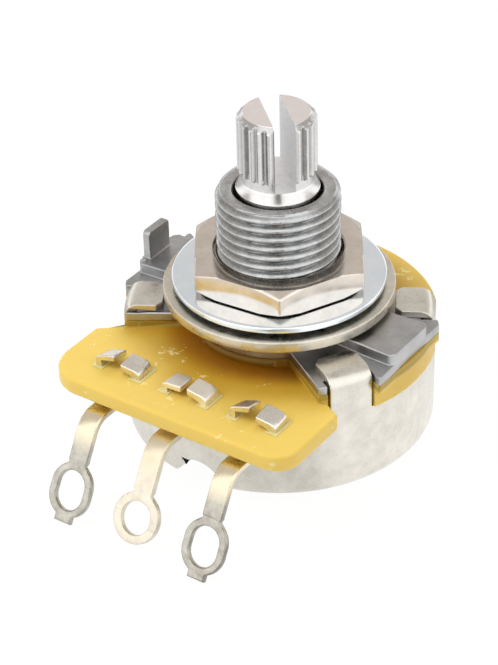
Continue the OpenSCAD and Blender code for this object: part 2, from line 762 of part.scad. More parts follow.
// The nut is a hexagon with both faces chamfered, and a bore with both ends countersunk.
module hex_nut() {
  corner_r = nut_af / 2 / cos(30);
  nut_bore_r = bushing_r + nut_fit;
  mouth_r = nut_bore_r + nut_countersink;
  color("#c3b5ac") translate([0, 0, nut_z]) difference() {
    intersection() {
      rotate([0, 0, nut_angle]) cylinder(r = corner_r, h = nut_t, $fn = 6);
      union() {
        cylinder(r1 = corner_r - nut_bevel, r2 = corner_r + eps, h = nut_bevel_h);
        translate([0, 0, nut_bevel_h - eps])
          cylinder(r = corner_r + eps, h = nut_t - 2 * nut_bevel_h + 2 * eps);
        translate([0, 0, nut_t - nut_bevel_h])
          cylinder(r1 = corner_r + eps, r2 = corner_r - nut_bevel, h = nut_bevel_h);
      }
    }
    translate([0, 0, -eps]) cylinder(r = nut_bore_r, h = nut_t + 2 * eps);
    translate([0, 0, -eps]) cylinder(r1 = mouth_r + eps, r2 = nut_bore_r, h = nut_countersink);
    translate([0, 0, nut_t - nut_countersink + eps])
      cylinder(r1 = nut_bore_r, r2 = mouth_r + eps, h = nut_countersink);
  }
}

housing_can();
bushing_plate();
terminal_board();
resistance_element();
collector_ring();
terminal_left();
terminal_middle();
terminal_right();
thrust_washer();
shaft();
retaining_ring();
rotor_disc();
stop_arm();
wiper_spring();
lock_washer();
flat_washer();
hex_nut();
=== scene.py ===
import math

import bmesh
import bpy
from mathutils import Matrix, Vector


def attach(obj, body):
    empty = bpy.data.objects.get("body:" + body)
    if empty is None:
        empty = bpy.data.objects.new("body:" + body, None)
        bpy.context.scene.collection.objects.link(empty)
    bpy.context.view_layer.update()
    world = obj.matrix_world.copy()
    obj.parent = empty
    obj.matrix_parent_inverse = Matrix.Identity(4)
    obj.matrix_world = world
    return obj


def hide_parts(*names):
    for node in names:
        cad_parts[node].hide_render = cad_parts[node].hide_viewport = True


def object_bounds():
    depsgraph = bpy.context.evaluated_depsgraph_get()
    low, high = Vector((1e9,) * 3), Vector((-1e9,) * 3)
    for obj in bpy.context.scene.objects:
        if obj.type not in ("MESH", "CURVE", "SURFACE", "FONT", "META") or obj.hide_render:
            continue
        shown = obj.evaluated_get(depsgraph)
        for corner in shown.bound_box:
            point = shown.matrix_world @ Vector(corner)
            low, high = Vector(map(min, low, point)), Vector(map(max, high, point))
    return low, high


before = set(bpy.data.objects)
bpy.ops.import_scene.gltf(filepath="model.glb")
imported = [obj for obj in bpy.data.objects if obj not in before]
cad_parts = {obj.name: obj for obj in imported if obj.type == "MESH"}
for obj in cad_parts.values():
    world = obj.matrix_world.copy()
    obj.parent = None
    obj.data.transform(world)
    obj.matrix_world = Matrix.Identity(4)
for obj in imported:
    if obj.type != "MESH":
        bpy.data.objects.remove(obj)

cad_low, cad_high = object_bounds()
MM = 0.001

# Camera
# It stands where the photograph was taken from: to the right of the terminals and above
# them. The shift puts the shaft's foot where the photograph has it.
CAMERA_AZIMUTH = math.radians(34.34)
CAMERA_ELEVATION = math.radians(32.87)
CAMERA_ROLL = math.radians(-0.98)
CAMERA_DISTANCE = 178.4 * MM
FOCAL_PIXELS = 2328.0
PHOTO_WIDTH, PHOTO_HEIGHT = 498, 665
ORIGIN_PIXEL = (279.6, 287.8)
SENSOR_WIDTH = 36.0

camera_data = bpy.data.cameras.new("studio_camera")
camera_data.sensor_width = SENSOR_WIDTH
camera_data.lens = FOCAL_PIXELS * SENSOR_WIDTH / PHOTO_HEIGHT
camera_data.shift_x = (PHOTO_WIDTH / 2 - ORIGIN_PIXEL[0]) / PHOTO_HEIGHT
camera_data.shift_y = (ORIGIN_PIXEL[1] - PHOTO_HEIGHT / 2) / PHOTO_HEIGHT
camera_data.clip_start, camera_data.clip_end = 0.01, 5.0
camera = bpy.data.objects.new("studio_camera", camera_data)
bpy.context.scene.collection.objects.link(camera)


def towards(azimuth, elevation):
    """The direction from the part to a place round it. Azimuth 0 is in front of the terminals."""
    return Vector((math.sin(azimuth) * math.cos(elevation), -math.cos(azimuth) * math.cos(elevation),
                   math.sin(elevation)))


looking = (-towards(CAMERA_AZIMUTH, CAMERA_ELEVATION)).to_track_quat("-Z", "Y").to_matrix().to_4x4()
camera.matrix_world = (Matrix.Translation(towards(CAMERA_AZIMUTH, CAMERA_ELEVATION) * CAMERA_DISTANCE)
                       @ looking @ Matrix.Rotation(CAMERA_ROLL, 4, "Z"))
bpy.context.scene.camera = camera

# Floor, tent, lamps and world
# The floor is pale paper, seen white, with a faint shadow. A photographer's tent and a dark
# card round the lens show only in the metals, which also see the floor brighter to the sides
# and at the can's foot, and darker below the lens. Soft lamps light the part from above.
FLOOR_RADIUS = 0.6
FLOOR_COLOUR = "#F4F4F2"
FLOOR_WHITE_SHARE = 0.93
FLOOR_GLOW = 1.03
TENT_RADIUS = 0.45
TENT_COLOUR = "#DBD6D2"
TENT_FROM = math.radians(13)
TENT_OVERHANG = 0.07
LENS_CARD_COLOUR = "#5A5048"
LENS_CARD_WIDTH, LENS_CARD_HEIGHT = 0.07, 0.12
LENS_CARD_AZIMUTH, LENS_CARD_ELEVATION = math.radians(34), math.radians(24)
LENS_CARD_DISTANCE = 0.22
# Each lamp's azimuth, elevation, width, watts and colour.
LAMPS = {"key_lamp": (math.radians(-38), math.radians(52), 0.26, 0.95, "#FFFFFF"),
         "fill_lamp": (math.radians(95), math.radians(35), 0.26, 0.30, "#FFF9F0"),
         "back_lamp": (math.radians(190), math.radians(50), 0.26, 0.45, "#F4F8FF")}
LAMP_DISTANCE = 0.42
SOFT_LIGHT, LIGHT_IN_METAL = 0.52, 1.5
FLOOR_IN_METAL, FLOOR_AT_FOOT = 0.62, 0.95
# Each patch's azimuth, the cosines off it where it starts and is full, and its change.
FLOOR_PATCHES = ((math.radians(96), 0.25, 0.85, 0.55), (math.radians(-30), 0.45, 0.95, 0.40),
                 (math.radians(34), 0.93, 0.99, -0.42))
FOOT_FULL_R, FOOT_END_R = 18, 40


def linear(colour):
    """An sRGB hex colour as linear red, green, blue and alpha."""
    shares = [int(colour[i:i + 2], 16) / 255 for i in (1, 3, 5)]
    return tuple(c / 12.92 if c <= 0.04045 else ((c + 0.055) / 1.055) ** 2.4 for c in shares) + (1.0,)


def add_node(tree, kind, settings=None, links=None):
    """Adds one node: settings are its properties or its inputs' values, and links feed its inputs."""
    node = tree.nodes.new(kind)
    for name, value in (settings or {}).items():
        if isinstance(name, str) and hasattr(node, name):
            setattr(node, name, value)
        else:
            node.inputs[name].default_value = value
    for name, source in (links or {}).items():
        tree.links.new(source, node.inputs[name])
    return node


def new_material(name):
    """An empty node material: its node tree and the socket that takes its surface."""
    material = bpy.data.materials.new(name)
    material.use_nodes = True
    material.node_tree.nodes.clear()
    output = material.node_tree.nodes.new("ShaderNodeOutputMaterial")
    return material, material.node_tree, output.inputs["Surface"]


def seen_white(tree):
    """1 for a ray of the camera, of a reflection or of a refraction, and 0 for any other."""
    path = add_node(tree, "ShaderNodeLightPath")
    seen = add_node(tree, "ShaderNodeMath", {"operation": "MAXIMUM"},
                    {0: path.outputs["Is Camera Ray"], 1: path.outputs["Is Glossy Ray"]})
    return add_node(tree, "ShaderNodeMath", {"operation": "MAXIMUM"},
                    {0: seen.outputs[0], 1: path.outputs["Is Transmission Ray"]}).outputs[0]


def put_on_stage(name, mesh, material, only_in_metal):
    """Adds a floor, wall or card. One that is only in metal is seen by reflections alone."""
    data = bpy.data.meshes.new(name)
    mesh.to_mesh(data)
    mesh.free()
    data.materials.append(material)
    piece = bpy.data.objects.new(name, data)
    bpy.context.scene.collection.objects.link(piece)
    if only_in_metal:
        piece.visible_camera = piece.visible_diffuse = piece.visible_shadow = False
        piece.visible_transmission = False


paper, tree, surface = new_material("pale_floor_paper")
matt = add_node(tree, "ShaderNodeBsdfDiffuse", {"Color": linear(FLOOR_COLOUR)})
white = add_node(tree, "ShaderNodeEmission", {"Color": (1, 1, 1, 1), "Strength": 1.0})
share = add_node(tree, "ShaderNodeMath", {"operation": "MULTIPLY", 1: FLOOR_WHITE_SHARE},
                 {0: seen_white(tree)})
place = add_node(tree, "ShaderNodeTexCoord").outputs["Object"]
way = add_node(tree, "ShaderNodeVectorMath", {"operation": "MULTIPLY", 1: (1, 1, 0)}, {0: place})
way = add_node(tree, "ShaderNodeVectorMath", {"operation": "NORMALIZE"}, {0: way.outputs[0]}).outputs[0]
level = add_node(tree, "ShaderNodeValue")
level.outputs[0].default_value = FLOOR_IN_METAL
for azimuth, from_cosine, to_cosine, change in FLOOR_PATCHES:
    near = add_node(tree, "ShaderNodeVectorMath",
                    {"operation": "DOT_PRODUCT", 1: (math.sin(azimuth), -math.cos(azimuth), 0)}, {0: way})
    patch = add_node(tree, "ShaderNodeMapRange", {"interpolation_type": "SMOOTHSTEP", "From Min": from_cosine,
                                                  "From Max": to_cosine, "To Max": change},
                     {"Value": near.outputs["Value"]})
    level = add_node(tree, "ShaderNodeMath", {"operation": "ADD"},
                     {0: level.outputs[0], 1: patch.outputs["Result"]})
reach = add_node(tree, "ShaderNodeVectorMath", {"operation": "LENGTH"}, {0: place})
at_foot = add_node(tree, "ShaderNodeMapRange", {"From Min": FOOT_FULL_R * MM, "From Max": FOOT_END_R * MM,
                                                "To Min": FLOOR_AT_FOOT, "To Max": 0.0},
                   {"Value": reach.outputs["Value"]})
level = add_node(tree, "ShaderNodeMath", {"operation": "MAXIMUM"},
                 {0: level.outputs[0], 1: at_foot.outputs["Result"]})
path = add_node(tree, "ShaderNodeLightPath")
in_metal = add_node(tree, "ShaderNodeMix", {"data_type": "FLOAT", 2: FLOOR_GLOW},
                    {0: path.outputs["Is Glossy Ray"], 3: level.outputs[0]})
tree.links.new(in_metal.outputs[0], white.inputs["Strength"])
mixed = add_node(tree, "ShaderNodeMixShader", {}, {0: share.outputs[0], 1: matt.outputs[0],
                                                  2: white.outputs[0]})
tree.links.new(mixed.outputs[0], surface)
sheet = bmesh.new()
bmesh.ops.create_circle(sheet, cap_ends=True, segments=64, radius=FLOOR_RADIUS,
                        matrix=Matrix.Translation((0, 0, cad_low.z)))
put_on_stage("floor", sheet, paper, False)

tent_cloth, tree, surface = new_material("tent_cloth")
glow = add_node(tree, "ShaderNodeEmission", {"Color": linear(TENT_COLOUR), "Strength": 1.0})
tree.links.new(glow.outputs[0], surface)
wall = bmesh.new()
bmesh.ops.create_uvsphere(wall, u_segments=64, v_segments=48, radius=TENT_RADIUS)
for point, outward in (((0, 0, TENT_RADIUS * math.sin(TENT_FROM)), (0, 0, -1)),
                       (towards(CAMERA_AZIMUTH, 0) * TENT_OVERHANG, towards(CAMERA_AZIMUTH, 0))):
    bmesh.ops.bisect_plane(wall, geom=wall.verts[:] + wall.edges[:] + wall.faces[:],
                           plane_co=point, plane_no=outward, clear_outer=True)
put_on_stage("tent_wall", wall, tent_cloth, True)

black_card, tree, surface = new_material("dark_card")
glow = add_node(tree, "ShaderNodeEmission", {"Color": linear(LENS_CARD_COLOUR), "Strength": 1.0})
tree.links.new(glow.outputs[0], surface)
card = bmesh.new()
bmesh.ops.create_grid(card, x_segments=1, y_segments=1, size=0.5)
bmesh.ops.scale(card, verts=card.verts, vec=(LENS_CARD_WIDTH, LENS_CARD_HEIGHT, 1))
card_way = towards(LENS_CARD_AZIMUTH, LENS_CARD_ELEVATION)
bmesh.ops.transform(card, verts=card.verts, matrix=Matrix.Translation(card_way * LENS_CARD_DISTANCE)
                    @ (-card_way).to_track_quat("-Z", "Y").to_matrix().to_4x4())
put_on_stage("lens_card", card, black_card, True)

for lamp_name, (azimuth, elevation, size, watts, colour) in LAMPS.items():
    lamp_data = bpy.data.lights.new(lamp_name, "AREA")
    lamp_data.shape = "DISK"
    lamp_data.size = size
    lamp_data.energy = watts
    lamp_data.color = linear(colour)[:3]
    lamp = bpy.data.objects.new(lamp_name, lamp_data)
    lamp.visible_glossy = False
    way = towards(azimuth, elevation)
    lamp.matrix_world = (Matrix.Translation(way * LAMP_DISTANCE)
                         @ (-way).to_track_quat("-Z", "Y").to_matrix().to_4x4())
    bpy.context.scene.collection.objects.link(lamp)

world = bpy.data.worlds.new("soft_tent_light")
world.use_nodes = True
tree = world.node_tree
tree.nodes.clear()
world_output = tree.nodes.new("ShaderNodeOutputWorld")
soft_light = add_node(tree, "ShaderNodeBackground", {"Color": (1, 1, 1, 1), "Strength": SOFT_LIGHT})
white_light = add_node(tree, "ShaderNodeBackground", {"Color": (1, 1, 1, 1), "Strength": 1.0})
bright_light = add_node(tree, "ShaderNodeBackground", {"Color": (1, 1, 1, 1), "Strength": LIGHT_IN_METAL})
mixed = add_node(tree, "ShaderNodeMixShader", {}, {0: seen_white(tree), 1: soft_light.outputs[0],
                                                  2: white_light.outputs[0]})
path = add_node(tree, "ShaderNodeLightPath")
mixed = add_node(tree, "ShaderNodeMixShader", {}, {0: path.outputs["Is Glossy Ray"], 1: mixed.outputs[0],
                                                  2: bright_light.outputs[0]})
tree.links.new(mixed.outputs[0], world_output.inputs["Surface"])
bpy.context.scene.world = world
bpy.context.scene.view_settings.view_transform = "Standard"

# Can
# The can is drawn from thin steel sheet and plated with satin nickel. Its four tabs are
# folded over the plate, and a dent punched into its lower corner stops the rotor. The sheet
# tore where the dent is deepest.
CAN_EDGE = 0.07
# The torn hole's size and place, and the depth of the black plug that paints the shade in it.
TEAR_R, TEAR_PLACE, TEAR_SHADE_DEPTH = 0.44, (-0.75, -11.78, -9.26), 0.1
MERGE, FLAT_WITHIN = 0.002, math.radians(0.6)
SCRATCH_MM, SCRATCH_THINNESS = 4.5, 14
SCRATCH_FROM, SCRATCH_FULL = 0.66, 0.72
ROUGH_LEAST, ROUGH_MOST = 0.8, 1.25


def cad_copy(node_name):
    """A merged copy of a CAD node's mesh, with each flat stretch made one face."""
    mesh = bmesh.new()
    mesh.from_mesh(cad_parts[node_name].data)
    bmesh.ops.remove_doubles(mesh, verts=mesh.verts, dist=MERGE * MM)
    bmesh.ops.dissolve_limit(mesh, angle_limit=FLAT_WITHIN, verts=mesh.verts, edges=mesh.edges)
    return mesh


def round_edges(mesh, width, segments=3, angle=38, chosen=None):
    """Rounds the sharp edges, or only those of them that are chosen by their middle."""
    edges = [edge for edge in mesh.edges
             if len(edge.link_faces) == 2 and edge.calc_face_angle() > math.radians(angle)
             and (chosen is None or chosen((edge.verts[0].co + edge.verts[1].co) / 2 / MM))]
    bmesh.ops.bevel(mesh, geom=edges, offset=width * MM, offset_type="OFFSET", affect="EDGES",
                    segments=segments, profile=0.5, material=-1, clamp_overlap=False)


def finish_piece(name, mesh, material, body, nodes, smooth_angle=35):
    """Makes the piece's object, smooth between its sharp edges, parents it to its body and hides the CAD
    nodes that it takes the place of.
    """
    data = bpy.data.meshes.new(name)
    mesh.to_mesh(data)
    mesh.free()
    data.materials.append(material)
    data.shade_smooth()
    data.set_sharp_from_angle(angle=math.radians(smooth_angle))
    piece = bpy.data.objects.new(name, data)
    bpy.context.scene.collection.objects.link(piece)
    shading = piece.modifiers.new("even_shading", "WEIGHTED_NORMAL")
    shading.keep_sharp = True
    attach(piece, body)
    if nodes:
        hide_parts(*nodes)
    return piece


def metal(name, light, dark, roughness, mottle_mm, grain_mm, relief_mm, scratch=0.0, extra=None):
    """A metal in two tones with soft mottling, a fine grain and some thin scratches. Its scales
    are in mm, and the grain is drawn coarser than the real one, so that it shows."""
    material, tree, surface = new_material(name)
    place = add_node(tree, "ShaderNodeTexCoord").outputs["Object"]
    mottle = add_node(tree, "ShaderNodeTexNoise",
                      {"Scale": 1000 / mottle_mm, "Detail": 5.0, "Roughness": 0.65}, {"Vector": place})
    grain = add_node(tree, "ShaderNodeTexNoise", {"Scale": 1000 / grain_mm, "Detail": 3.0},
                     {"Vector": place})
    tone = add_node(tree, "ShaderNodeMapRange", {"From Min": 0.3, "From Max": 0.7},
                    {"Value": mottle.outputs["Fac"]}).outputs["Result"]
    slanted = add_node(tree, "ShaderNodeMapping",
                       {"Rotation": (0.5, 0.9, 0.7), "Scale": (1, SCRATCH_THINNESS, SCRATCH_THINNESS)},
                       {"Vector": place})
    lines = add_node(tree, "ShaderNodeTexNoise", {"Scale": 1000 / SCRATCH_MM, "Detail": 2.0},
                     {"Vector": slanted.outputs["Vector"]})
    scored = add_node(tree, "ShaderNodeMapRange",
                      {"From Min": SCRATCH_FROM, "From Max": SCRATCH_FULL, "To Max": scratch},
                      {"Value": lines.outputs["Fac"]}).outputs["Result"]
    kept = add_node(tree, "ShaderNodeMath", {"operation": "SUBTRACT", "use_clamp": True},
                    {0: tone, 1: scored})
    colour = add_node(tree, "ShaderNodeMix", {"data_type": "RGBA", 6: linear(dark), 7: linear(light)},
                      {0: kept.outputs[0]}).outputs[2]
    if extra:
        colour = extra(tree, place, colour)
    rough = add_node(tree, "ShaderNodeMapRange",
                     {"From Min": 0.35, "From Max": 0.65,
                      "To Min": roughness * ROUGH_LEAST, "To Max": roughness * ROUGH_MOST},
                     {"Value": mottle.outputs["Fac"]})
    relief = add_node(tree, "ShaderNodeBump", {"Strength": 1.0, "Distance": relief_mm * MM},
                      {"Height": grain.outputs["Fac"]})
    shader = add_node(tree, "ShaderNodeBsdfPrincipled", {"Metallic": 1.0},
                      {"Base Color": colour, "Roughness": rough.outputs["Result"],
                       "Normal": relief.outputs["Normal"]})
    tree.links.new(shader.outputs["BSDF"], surface)
    return material


# Satin nickel over drawn steel: pale warm grey, faintly mottled, with a few handling marks.
satin_nickel = metal("satin_nickel_on_steel", "#E5E1D7", "#CDC9BF", 0.30, 1.4, 0.16, 0.006, 0.2)

# Painted shade in the dent's torn corner: a black matt plug with a trace of grain, set where the can's inside
# is dark.
painted_tear_shade, tree, surface = new_material("painted_shade_in_the_tear")
place = add_node(tree, "ShaderNodeTexCoord").outputs["Object"]
grain = add_node(tree, "ShaderNodeTexNoise", {"Scale": 1000 / 0.3}, {"Vector": place})
black = add_node(tree, "ShaderNodeMix", {"data_type": "RGBA", 6: linear("#0B0B0A"), 7: linear("#1E1D1B")},
                 {0: grain.outputs["Fac"]})
shader = add_node(tree, "ShaderNodeBsdfPrincipled", {"Roughness": 0.9, "Specular IOR Level": 0.1},
                  {"Base Color": black.outputs[2]})
tree.links.new(shader.outputs["BSDF"], surface)

can = cad_copy("housing_can")
round_edges(can, CAN_EDGE, 2)
# Painted shade: a black triangular plug set in the tear stands for the dark inside of the can.
painted_shade_plug = bmesh.ops.create_cone(can, cap_ends=True, segments=3, radius1=TEAR_R * MM, radius2=TEAR_R * MM,
                                depth=TEAR_SHADE_DEPTH * MM, matrix=Matrix.Translation(Vector(TEAR_PLACE) * MM)
                                @ Matrix.Rotation(math.radians(-90), 4, "X"))
for face in {face for vert in painted_shade_plug["verts"] for face in vert.link_faces}:
    face.material_index = 1
shell = finish_piece("can_shell", can, satin_nickel, "housing", ["housing_can"])
shell.data.materials.append(painted_tear_shade)

# Bushing plate
# The plate, its locating lug and the bushing are one zinc die-casting, left bare. The
# plate's faces keep their cast skin, and its edges are rounded as they left the die.
PLATE_EDGE = 0.11
SEAT_R, SEAT_SHOWN_R = 7.6, 6.7
BUSHING_R = 4.76
POST_CUT_Z, POST_REACH = 0.05, 0.4
ROUNDED_BELOW_Z, ROUNDED_FROM_R = 3, 5

# Bare die-cast zinc: mid grey and satin, blotched where the melt cooled, dull in places.
cast_zinc = metal("die_cast_zinc", "#BFBFBF", "#A0A1A2", 0.34, 1.8, 0.14, 0.005, 0.08)

plate = cad_copy("bushing_plate")
for vert in plate.verts:
    if abs(vert.co.xy.length / MM - SEAT_R) < 0.05:
        vert.co.xy = vert.co.xy * (SEAT_SHOWN_R / SEAT_R)
post = [face for face in plate.faces
        if face.calc_center_median().z > 0.0
        and face.calc_center_median().xy.length < (BUSHING_R + POST_REACH) * MM]
post_geometry = post + list({edge for face in post for edge in face.edges}) \
    + list({vert for face in post for vert in face.verts})
bmesh.ops.bisect_plane(plate, geom=post_geometry, plane_co=(0, 0, POST_CUT_Z * MM), plane_no=(0, 0, 1),
                       clear_outer=True)
bmesh.ops.bridge_loops(plate, edges=[edge for edge in plate.edges if edge.is_boundary])
round_edges(plate, PLATE_EDGE, 3, 38,
            lambda middle: middle.z < ROUNDED_BELOW_Z and middle.xy.length > ROUNDED_FROM_R)
finish_piece("cast_plate", plate, cast_zinc, "housing", ["bushing_plate"])

# Bushing thread
# The bushing's thread is cut, 32 threads to the inch. Its crests are rounded and bright,
# and its valleys are darkened in colour as painted shade. A lead-in chamfer starts it at the open end.
BUSHING_TOP = 9.1
THREAD_PITCH = 0.794
THREAD_DEPTH = 0.40
THREAD_STEPS = 14
CREST_WIDTH = 0.75
BUSHING_CHAMFER = 0.45
BORE_R = 3.205
BORE_CHAMFER = 0.42
THREAD_START = 0.06


def turned(profile, segments=96):
    """A body of revolution: its closed profile of (radius, height) pairs in mm, spun round Z."""
    mesh = bmesh.new()
    ring = [mesh.verts.new((radius * MM, 0, height * MM)) for radius, height in profile]
    edges = [mesh.edges.new((ring[i - 1], ring[i])) for i in range(len(ring))]
    bmesh.ops.spin(mesh, geom=ring + edges, cent=(0, 0, 0), axis=(0, 0, 1), angle=2 * math.pi,
                   steps=segments, use_merge=True)
    bmesh.ops.remove_doubles(mesh, verts=mesh.verts, dist=0.0005 * MM)
    bmesh.ops.recalc_face_normals(mesh, faces=mesh.faces)
    return mesh


def painted_valley_shade(tree, place, colour):
    """Painted shade: darkens the metal towards the thread's valleys, by its distance from the axis."""
    flat = add_node(tree, "ShaderNodeVectorMath", {"operation": "MULTIPLY", 1: (1, 1, 0)}, {0: place})
    radius = add_node(tree, "ShaderNodeVectorMath", {"operation": "LENGTH"}, {0: flat.outputs[0]})
    depth = add_node(tree, "ShaderNodeMapRange",
                     {"From Min": (BUSHING_R - THREAD_DEPTH) * MM, "From Max": (BUSHING_R - 0.1) * MM,
                      "To Min": 0.45, "To Max": 1.0}, {"Value": radius.outputs["Value"]})
    height = add_node(tree, "ShaderNodeSeparateXYZ", {}, {0: place})
    top = add_node(tree, "ShaderNodeMapRange",
                   {"From Min": (BUSHING_TOP - 0.3) * MM, "From Max": (BUSHING_TOP - 0.15) * MM},
                   {"Value": height.outputs["Z"]})
    shown = add_node(tree, "ShaderNodeMath", {"operation": "MAXIMUM"},
                     {0: depth.outputs["Result"], 1: top.outputs["Result"]})
    return add_node(tree, "ShaderNodeMix", {"data_type": "RGBA", 6: linear("#3A3A3A")},
                    {0: shown.outputs[0], 7: colour}).outputs[2]


# Cut zinc: brighter than the casting, with small torn specks along the crests.
cut_zinc = metal("thread_cut_zinc", "#C8C9C9", "#A2A3A3", 0.25, 0.7, 0.20, 0.010, 0.1, painted_valley_shade)

rows = int((BUSHING_TOP - THREAD_START) / THREAD_PITCH * THREAD_STEPS)
outer_wall = [(BUSHING_R, THREAD_START + (BUSHING_TOP - THREAD_START) * i / rows) for i in range(rows + 1)]
sleeve = turned(outer_wall + [(BORE_R + BORE_CHAMFER, BUSHING_TOP), (BORE_R, BUSHING_TOP - BORE_CHAMFER),
                              (BORE_R, THREAD_START)], 120)
for vert in sleeve.verts:
    radius, height = vert.co.xy.length / MM, vert.co.z / MM
    if radius > BUSHING_R - 0.01:
        turn = height / THREAD_PITCH - math.atan2(vert.co.y, vert.co.x) / (2 * math.pi)
        crest = (0.5 + 0.5 * math.cos(2 * math.pi * turn)) ** CREST_WIDTH
        wanted = min(BUSHING_R - 0.02 - THREAD_DEPTH * (1 - crest),
                     BUSHING_R - BUSHING_CHAMFER + (BUSHING_TOP - height))
        vert.co.xy = vert.co.xy * (wanted / radius)
finish_piece("threaded_bushing", sleeve, cut_zinc, "housing", [], 50)

# Terminal board
# The board is moulded in a waxy yellow plastic that light gets into. It fills the can's
# mouth and carries the terminals on its bar, where their prongs come up through slots.
BOARD_EDGE = 0.28
BAR_TOP, PAD_TOP = -2.75, -2.05
BAR_BACK_Y, BAR_FROM_R = -7.4, 10.5
SLOTS_FROM_Y, SLOTS_TO_Y, SLOTS_HALF = -13.2, -10.8, 9.2
TERMINAL_PITCH, PRONG_OFFSET, PRONG_Y = 6.1, 1.75, -11.95
SLOT_PLACES = [(pitch * TERMINAL_PITCH + side * PRONG_OFFSET, PRONG_Y)
               for pitch in (-1, 0, 1) for side in (-1, 1)]
SLOT_WIDTH, SLOT_LENGTH, RIM_WIDTH, RIM_HEIGHT = 0.71, 1.81, 0.16, 0.05
CLOUD_MM, CLOUD_REACH, FLECK_MM, SCUFF_MM = 5.0, 1.6, 0.6, 3.5
# The radii of the amber middle, partly the moulding's own tone and partly painted shade, and of the brown
# painted shadow under the washers' rims.
AMBER_TO_R, YELLOW_FROM_R = 8.2, 14.0
BROWN_TO_R, AMBER_FROM_R = 7.6, 9.6
SHADE_FROM_Y, SHADE_FULL_Y, SHADE = 6.0, 2.0, 0.65


def waxy_plastic():
    """Yellow wax-like moulding: amber towards its middle, partly its own deeper tone where it is thick
    and partly painted shade, brown as painted shadow under the washers' rims, olive as painted shade on
    the walls below the plate's arms, and pale at its scuffs and at the slots' rims."""
    material, tree, surface = new_material("waxy_yellow_moulding")
    place = add_node(tree, "ShaderNodeTexCoord").outputs["Object"]
    flat = add_node(tree, "ShaderNodeVectorMath", {"operation": "MULTIPLY", 1: (1, 1, 0)}, {0: place})
    radius = add_node(tree, "ShaderNodeVectorMath", {"operation": "LENGTH"}, {0: flat.outputs[0]})
    cloud = add_node(tree, "ShaderNodeTexNoise", {"Scale": 1000 / CLOUD_MM, "Detail": 3.0},
                     {"Vector": place})
    wander = add_node(tree, "ShaderNodeMapRange", {"To Min": -CLOUD_REACH * MM, "To Max": CLOUD_REACH * MM},
                      {"Value": cloud.outputs["Fac"]})
    reach = add_node(tree, "ShaderNodeMath", {"operation": "ADD"},
                     {0: radius.outputs["Value"], 1: wander.outputs["Result"]})
    # Amber towards the middle: partly the moulding's own deeper tone, partly painted shade.
    open_light = add_node(tree, "ShaderNodeMapRange",
                          {"interpolation_type": "SMOOTHSTEP", "From Min": AMBER_TO_R * MM,
                           "From Max": YELLOW_FROM_R * MM},
                          {"Value": reach.outputs[0]})
    # Painted shadow: browner near the washers' rims.
    under = add_node(tree, "ShaderNodeMapRange",
                     {"interpolation_type": "SMOOTHSTEP", "From Min": BROWN_TO_R * MM,
                      "From Max": AMBER_FROM_R * MM}, {"Value": radius.outputs["Value"]})
    amber = add_node(tree, "ShaderNodeMix", {"data_type": "RGBA", 6: linear("#A2690D"),
                                            7: linear("#C59828")}, {0: under.outputs["Result"]})
    yellow = add_node(tree, "ShaderNodeMix", {"data_type": "RGBA", 7: linear("#EBCA62")},
                      {0: open_light.outputs["Result"], 6: amber.outputs[2]})
    flecks = add_node(tree, "ShaderNodeTexNoise", {"Scale": 1000 / FLECK_MM, "Detail": 3.0, "Roughness": 0.6},
                      {"Vector": place})
    patches = add_node(tree, "ShaderNodeTexNoise", {"Scale": 1000 / SCUFF_MM, "Detail": 1.0},
                       {"Vector": place})
    both = add_node(tree, "ShaderNodeMath", {"operation": "MULTIPLY"},
                    {0: flecks.outputs["Fac"], 1: patches.outputs["Fac"]})
    scuff = add_node(tree, "ShaderNodeMapRange", {"From Min": 0.375, "From Max": 0.40, "To Max": 0.6},
                     {"Value": both.outputs[0]})
    pale = add_node(tree, "ShaderNodeAttribute", {"attribute_name": "pale_rim"})
    light = add_node(tree, "ShaderNodeMath", {"operation": "MAXIMUM"},
                     {0: scuff.outputs["Result"], 1: pale.outputs["Fac"]})
    colour = add_node(tree, "ShaderNodeMix", {"data_type": "RGBA", 7: linear("#F6E9A8")},
                      {0: light.outputs[0], 6: yellow.outputs[2]})
    relief = add_node(tree, "ShaderNodeBump", {"Strength": 1.0, "Distance": 0.012 * MM},
                      {"Height": flecks.outputs["Fac"]})
    spot = add_node(tree, "ShaderNodeSeparateXYZ", {}, {0: place})
    below_top = add_node(tree, "ShaderNodeMath", {"operation": "LESS_THAN", 1: (PAD_TOP - 0.01) * MM},
                         {0: spot.outputs["Z"]})
    # Painted shade: the walls between the bar's top and the pad's top are turned olive towards the front.
    above_bar = add_node(tree, "ShaderNodeMapRange",
                         {"interpolation_type": "SMOOTHSTEP", "From Min": (BAR_TOP + 0.06) * MM,
                          "From Max": (BAR_TOP + 0.35) * MM}, {"Value": spot.outputs["Z"]})
    in_front = add_node(tree, "ShaderNodeMapRange",
                        {"interpolation_type": "SMOOTHSTEP", "From Min": SHADE_FROM_Y * MM,
                         "From Max": SHADE_FULL_Y * MM},
                        {"Value": spot.outputs["Y"]})
    wall = add_node(tree, "ShaderNodeMath", {"operation": "MULTIPLY"},
                    {0: above_bar.outputs["Result"], 1: below_top.outputs[0]})
    wall = add_node(tree, "ShaderNodeMath", {"operation": "MULTIPLY"},
                    {0: wall.outputs[0], 1: in_front.outputs["Result"]})
    wall = add_node(tree, "ShaderNodeMath", {"operation": "MULTIPLY", 1: SHADE}, {0: wall.outputs[0]})
    colour = add_node(tree, "ShaderNodeMix", {"data_type": "RGBA", 7: linear("#86752C")},
                      {0: wall.outputs[0], 6: colour.outputs[2]})
    shader = add_node(tree, "ShaderNodeBsdfPrincipled",
                      {"Roughness": 0.42, "IOR": 1.45, "Subsurface Weight": 0.25,
                       "Subsurface Radius": (1.0, 0.7, 0.2), "Subsurface Scale": 0.7 * MM},
                      {"Base Color": colour.outputs[2], "Normal": relief.outputs["Normal"]})
    tree.links.new(shader.outputs["BSDF"], surface)
    return material


